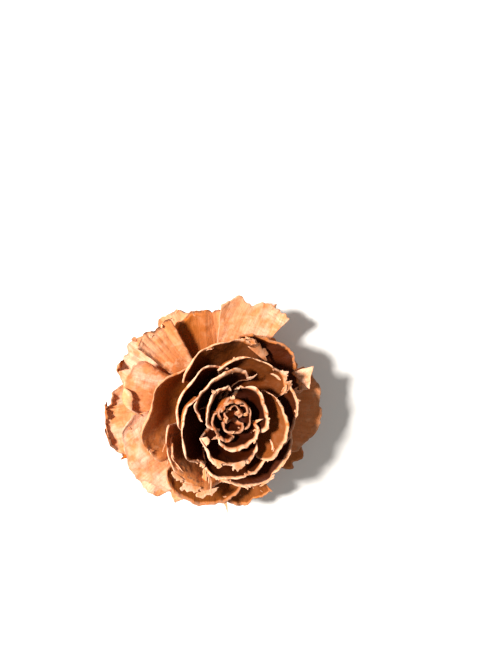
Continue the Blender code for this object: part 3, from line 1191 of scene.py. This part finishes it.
@dataclass
class CedarRose:
    """The whole rose: the snapped axis, four tiers of scales round it, and the torn skin that stands off them."""

    rule: GrowthRule = field(default_factory=GrowthRule)
    wear_and_light: WearAndPaintedLight = field(default_factory=WearAndPaintedLight)
    bark: WoodFinish = field(default_factory=lambda: WoodFinish("cone_bark"))
    sliver_seed: int = 77
    sliver_length: float = 1.4
    sliver_width: float = 1.5
    sliver_counts: tuple[tuple[int, int, int], ...] = ((0, 19, 2), (19, 29, 3), (29, 41, 2))
    first_plain_edge: int = 18
    outer_share: float = 0.6
    tiers: tuple[Tier, ...] = (
        Tier("spread_scales", 0, 9, 40, 22, 0.8, 0.16),
        Tier("open_scales", 10, 18, 40, 22, 0.42, 0.13),
        Tier("cup_scales", 19, 28, 40, 22, 0.5, 0.1),
        Tier("bud_scales", 29, 40, 32, 20, 0.7, 0.1),
    )
    # each row: scale, across, along, length, width, heading, lift, curl, twist, taper, teeth, bleach and painted
    # light
    large_slivers: tuple[Flake, ...] = (
        # the pale triangle and the toothed flakes on the right margin of scale 18
        Flake(18, -0.46, 0.99, 5.6, 7.6, 32, 2, 48, 0, 0.98, 0.1, 1.0, bluntness=1.0),
        Flake(18, -0.60, 0.95, 2.8, 5.6, -72, 34, 20, 0, 0.25, 0.7, 0.85),
        Flake(18, -0.74, 0.88, 1.8, 2.6, -90, 15, 40, 0, 0.4, 0.7, 1.0),
        # the papery strip along the right rim of scale 26
        Flake(26, -0.38, 0.985, 2.0, 2.8, -10, 30, 50, 0, 0.5, 0.6, 1.0),
        Flake(26, -0.60, 0.97, 2.0, 3.6, -30, 35, 50, 0, 0.4, 0.6, 1.0),
        Flake(26, -0.76, 0.94, 2.0, 3.0, -50, 30, 50, 0, 0.4, 0.6, 1.0),
        # the torn flake at the right end of scale 21
        Flake(21, -0.64, 0.965, 3.8, 7.6, -15, 62, 50, 0, 0.15, 0.25, 0.7),
        Flake(21, -0.42, 0.975, 2.0, 3.0, 0, 60, 60, 0, 0.3, 0.6, 0.6),
        # the ragged pale rim of scale 22, its fibrous torn margin and a strand on scale 19
        Flake(22, 0.12, 0.975, 1.8, 5.6, 12, 0, 10, 0, 0.2, 0.35, 1.0, on_curl=True),
        Flake(22, 0.36, 0.975, 1.8, 5.2, 25, 0, 10, 0, 0.25, 0.4, 1.0, on_curl=True),
        Flake(22, -0.10, 0.98, 1.2, 4.4, 0, 0, 10, 0, 0.3, 0.4, 0.9, on_curl=True),
        Flake(22, -0.86, 0.72, 6.5, 1.7, 18, 8, -20, 50, 0.5, 0.6, 0.6),
        Flake(22, -0.78, 0.82, 6.5, 1.5, 50, 12, -35, -70, 0.5, 0.6, 0.8),
        Flake(22, -0.50, 0.93, 6.0, 1.6, 80, 15, -30, 70, 0.5, 0.6, 0.7),
        Flake(19, 0.80, 0.82, 4.0, 1.8, 60, 14, 20, 60, 0.6, 0.6, 0.8),
        # the twisted strip between scales 22 and 25
        Flake(25, -0.80, 0.90, 8.0, 2.0, 62, 48, 12, 120, 0.3, 0.4, 0.5),
        Flake(25, -0.70, 0.93, 6.0, 1.2, 70, 40, 20, -80, 0.4, 0.5, 0.7),
        # the pale flakes on the rims of scales 20, 25 and 30
        Flake(20, -0.34, 0.98, 2.0, 2.8, -15, -10, -20, 0, 0.6, 0.7, 1.0),
        Flake(20, -0.10, 0.985, 1.2, 4.6, 5, -10, -30, 0, 0.2, 0.45, 1.0),
        Flake(20, 0.24, 0.985, 1.2, 4.2, 5, -10, -30, 0, 0.2, 0.45, 1.0),
        Flake(25, 0.60, 0.97, 1.6, 4.4, 25, -5, -40, 0, 0.3, 0.5, 1.0),
        Flake(30, -0.20, 0.97, 2.2, 3.6, -10, 50, 50, 0, 0.3, 0.4, 1.0),
        Flake(30, 0.16, 0.97, 2.2, 4.4, 10, 50, 50, 0, 0.3, 0.4, 1.0),
        Flake(30, -0.70, 0.93, 2.4, 2.4, -30, -20, -150, 0, 0.3, 0.3, 1.0),
        # the pale sliver under the bottom scale
        Flake(17, 0.44, 0.95, 4.4, 1.3, 5, 14, 10, 0, 0.8, 0.3, 1.0),
        # the hooked tips of scales 29 and 33
        Flake(29, -0.84, 0.93, 2.6, 1.5, -55, 10, 50, 30, 0.7, 0.4, 1.0),
        Flake(33, 0.82, 0.93, 2.2, 1.3, 55, 15, 20, 0, 0.7, 0.4, 1.0),
        Flake(33, -0.84, 0.93, 2.0, 1.2, -55, 15, 20, 0, 0.7, 0.4, 1.0),
        # the dark curled edges of scales 3 and 6
        Flake(3, 0.36, 0.93, 5.0, 4.6, 5, 20, 95, 0, 0.9, 0.2, 0.1, face=Face.INNER, char=1.0),
        Flake(6, -0.30, 0.93, 3.0, 5.0, 0, 30, 90, 0, 0.3, 0.3, 0.1, face=Face.INNER, char=0.9),
        Flake(6, 0.16, 0.94, 2.8, 5.6, 5, 30, 80, 0, 0.3, 0.3, 0.1, face=Face.INNER, char=0.9),
        Flake(6, 0.60, 0.92, 3.0, 2.2, 10, 10, -30, 0, 0.4, 0.3, 0.0, char=0.8),
    )
    notches: dict[int, tuple[Notch, ...]] = by_scale({
        6: (Notch(0.85, 2.0, 2.2), Notch(-0.6, 1.4, 1.6)),
        9: (Notch(0.5, 1.6, 1.8),),
        11: (Notch(0.45, -3.0, 8.0),),
        13: (Notch(0.1, 1.2, 1.2),),
        16: (Notch(-0.1, 1.0, 0.8), Notch(0.25, 0.8, 0.7), Notch(0.6, 0.9, 0.8), Notch(-0.5, 0.9, 0.8)),
        18: (Notch(-0.45, 1.6, 1.6), Notch(-0.7, 1.0, 0.9)),
        22: (Notch(0.75, 1.8, 2.0),),
        27: (Notch(-0.7, 1.8, 1.4), Notch(-0.4, 1.0, 0.8)),
        29: (Notch(-0.95, 1.4, 1.2),),
        32: (Notch(-0.5, 1.2, 1.0), Notch(0.5, 0.9, 0.8)),
    })
    curls: dict[int, tuple[Curl, ...]] = by_scale({
        3: (Curl(0.75, 1.6, 0.55, 1.4, edge=Edge.AHEAD, face=Face.INNER),),
        6: (Curl(0.92, 1.5, -0.7, 0.5, face=Face.INNER),),
        11: (Curl(0.88, 1.3, 0.0, 1.4, face=Face.INNER), Curl(0.62, 2.0, 0.3, 1.5, edge=Edge.BEHIND)),
        16: (Curl(0.5, 34.0),),
        18: (Curl(0.55, 2.2, 0.6, 1.5, edge=Edge.BEHIND),),
        19: (Curl(0.70, 13.0, 0.0, 2.5, 0.7),),
        21: (Curl(0.88, 1.8, -1.3, -0.4),),
        22: (Curl(0.88, 3.0, -0.4, 0.95, 0.35),),
        25: (Curl(0.94, 1.4, 0.2, 1.2, face=Face.INNER),),
        28: (Curl(0.93, 1.4, -0.6, 0.4),),
        29: (Curl(0.86, 2.2, -1.2, 0.7),),
        30: (Curl(0.88, 1.8, -0.5, 0.8),),
        31: (Curl(0.89, 1.5, -0.8, 0.9),),
        32: (Curl(0.86, 1.6, -0.9, 0.6),),
        33: (Curl(0.87, 1.4, -0.8, 0.8),),
        34: (Curl(0.88, 1.0, -0.8, 0.6, face=Face.INNER),),
        35: (Curl(0.90, 0.9, -0.8, 0.6),),
    })

    def small_slivers(self) -> list[Flake]:
        """Small slivers scattered along the rims, the same each time."""
        roll = np.random.default_rng(self.sliver_seed).uniform
        numbers = [n for first, end, count in self.sliver_counts for n in range(first, end) for _ in range(count)]
        scattered = []
        for number in numbers:
            size = roll(0.5, 1.0)
            scattered.append(
                Flake(
                    number,
                    across=roll(-0.85, 0.85),
                    along=roll(0.9, 0.99),
                    length=self.sliver_length * size,
                    width=self.sliver_width * size * roll(0.7, 1.6),
                    heading=roll(-70.0, 70.0),
                    lift=roll(-10.0, 35.0),
                    curl=roll(-60.0, 100.0),
                    twist=roll(-40.0, 40.0),
                    taper=roll(0.2, 0.6),
                    teeth=0.45,
                    face=Face.OUTER if roll() < self.outer_share else Face.INNER,
                    bleach_and_light=roll(0.3, 1.0),
                    char=roll(0.0, 0.5) if number < self.first_plain_edge else 0.0,
                    on_curl=True,
                    columns=7,
                    rows=9,
                )
            )
        return scattered

    def build(self) -> None:
        """Models every piece and reports it."""
        skin = TornSkin((*self.large_slivers, *self.small_slivers()))
        for part in (Stump(), *self.tiers, skin):
            piece = part.build(self)
            log.info("%s: %d faces", piece.name, len(piece.data.polygons))


def hang(what: bpy.types.ID) -> Thing:
    """Puts a lamp or a lens into the scene, under its own name."""
    holder = bpy.data.objects.new(what.name, what)
    bpy.context.scene.collection.objects.link(holder)
    return holder


@dataclass
class Studio:
    """A plain pale floor, one soft lamp high on the left and an even pale surround."""

    floor_half: float = 3.0
    floor_color: Color = (0.80, 0.79, 0.77, 1.0)
    floor_roughness: float = 0.7
    surround: Color = (1.0, 0.97, 0.93, 1.0)
    surround_strength: float = 0.36
    lamp_azimuth: float = 165.0
    lamp_elevation: float = 43.0
    lamp_distance: float = 0.9
    lamp_size: float = 0.12
    lamp_power: float = 22.8
    lamp_color: tuple[float, float, float] = (1.0, 0.965, 0.92)

    def build(self) -> None:
        """Lays the floor, hangs the lamp and lights the surround."""
        unselect()
        bpy.ops.mesh.primitive_plane_add(size=2.0 * self.floor_half)
        floor = bpy.context.object
        floor.name = "floor"
        made = bpy.data.materials.new("pale_floor")
        made.use_nodes = True
        shader = made.node_tree.nodes["Principled BSDF"].inputs
        shader["Base Color"].default_value = self.floor_color
        shader["Roughness"].default_value = self.floor_roughness
        floor.data.materials.append(made)
        azimuth, elevation = math.radians(self.lamp_azimuth), math.radians(self.lamp_elevation)
        level = math.cos(elevation)
        away = Vector((math.cos(azimuth) * level, math.sin(azimuth) * level, math.sin(elevation)))
        lamp = bpy.data.lights.new("lamp", "AREA")
        lamp.shape = "DISK"
        lamp.size = self.lamp_size
        lamp.energy = self.lamp_power
        lamp.color = self.lamp_color
        holder = hang(lamp)
        holder.location = away * self.lamp_distance
        holder.rotation_euler = away.to_track_quat("Z", "Y").to_euler()
        world = bpy.data.worlds.new("surround")
        world.use_nodes = True
        background = world.node_tree.nodes["Background"].inputs
        background["Color"].default_value = self.surround
        background["Strength"].default_value = self.surround_strength
        bpy.context.scene.world = world
        bpy.context.scene.view_settings.view_transform = "Standard"


@dataclass
class PhotoCamera:
    """The camera at the photograph's angle. The rose stands upright, so the camera tilts as the rose leans there."""

    width: int = 500
    height: int = 667
    focal: float = 926.0
    sensor: float = 36.0
    distance: float = 0.275
    tilt: float = 20.0
    lean_azimuth: float = -35.0
    aim: tuple[float, float, float] = (0.0, 0.0, 0.008)
    aim_pixel: Span = (212.0, 402.0)

    def build(self) -> None:
        """Places the camera and makes it the scene's."""
        tilt, lean = math.radians(self.tilt), math.radians(self.lean_azimuth)
        back = -Vector((math.cos(lean), math.sin(lean), 0.0))
        up = Vector((0.0, 0.0, 1.0))
        sight = (back * math.sin(tilt) + up * math.cos(tilt)).normalized()
        turned = Matrix.Rotation(tilt, 3, up.cross(back))
        ray = Vector((self.aim_pixel[0] - self.width / 2, self.height / 2 - self.aim_pixel[1], -self.focal))
        shift = ray.normalized().rotation_difference(Vector((0.0, 0.0, -1.0)))
        lens = bpy.data.cameras.new("camera")
        lens.sensor_fit = "VERTICAL"
        lens.sensor_height = self.sensor
        lens.lens = self.sensor * self.focal / self.height
        holder = hang(lens)
        place = Matrix.Translation(Vector(self.aim) + sight * self.distance)
        holder.matrix_world = place @ (turned @ shift.to_matrix()).to_4x4()
        bpy.context.scene.camera = holder


def main() -> None:
    """Builds the camera, the studio and the rose, in that order."""
    logging.basicConfig(level=logging.INFO, format="%(name)s: %(message)s")
    PhotoCamera().build()
    Studio().build()
    CedarRose().build()
    unselect()


if __name__ == "__main__":
    main()
